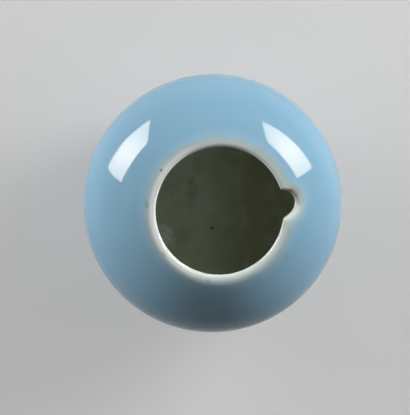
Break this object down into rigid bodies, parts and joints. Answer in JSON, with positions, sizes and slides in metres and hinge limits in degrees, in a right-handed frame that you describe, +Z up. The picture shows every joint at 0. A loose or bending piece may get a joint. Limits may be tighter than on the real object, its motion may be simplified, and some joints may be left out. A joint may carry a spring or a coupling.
{
  "type": "water coupe",
  "caption": "Low round porcelain water pot with a pale blue glaze, an inward-curving mouth with a small notch in its lip, and a turned foot ring. Holds water for a writing brush.",
  "frame": {"origin": "centre of the foot ring, on the surface that the pot stands on", "axes": "+Z up along the pot's axis, +X towards the notch in the lip"},
  "size_m": [0.08, 0.08, 0.0468],
  "materials": {
    "porcelain": "white clay, clear and glossy where the lip shows it, dry and buff on the foot ring",
    "blue_glaze": "even, glossy, slightly opaque pale blue",
    "lining_glaze": "glossy, pale greenish white with a few water stains",
    "foot_glaze": "glossy, clear with a cool tint, unmarked"
  },
  "bodies": {
    "root": {"porcelain_body": "porcelain", "outer_glaze": "blue_glaze", "inner_glaze": "lining_glaze", "base_glaze": "foot_glaze"}
  },
  "joints": []
}
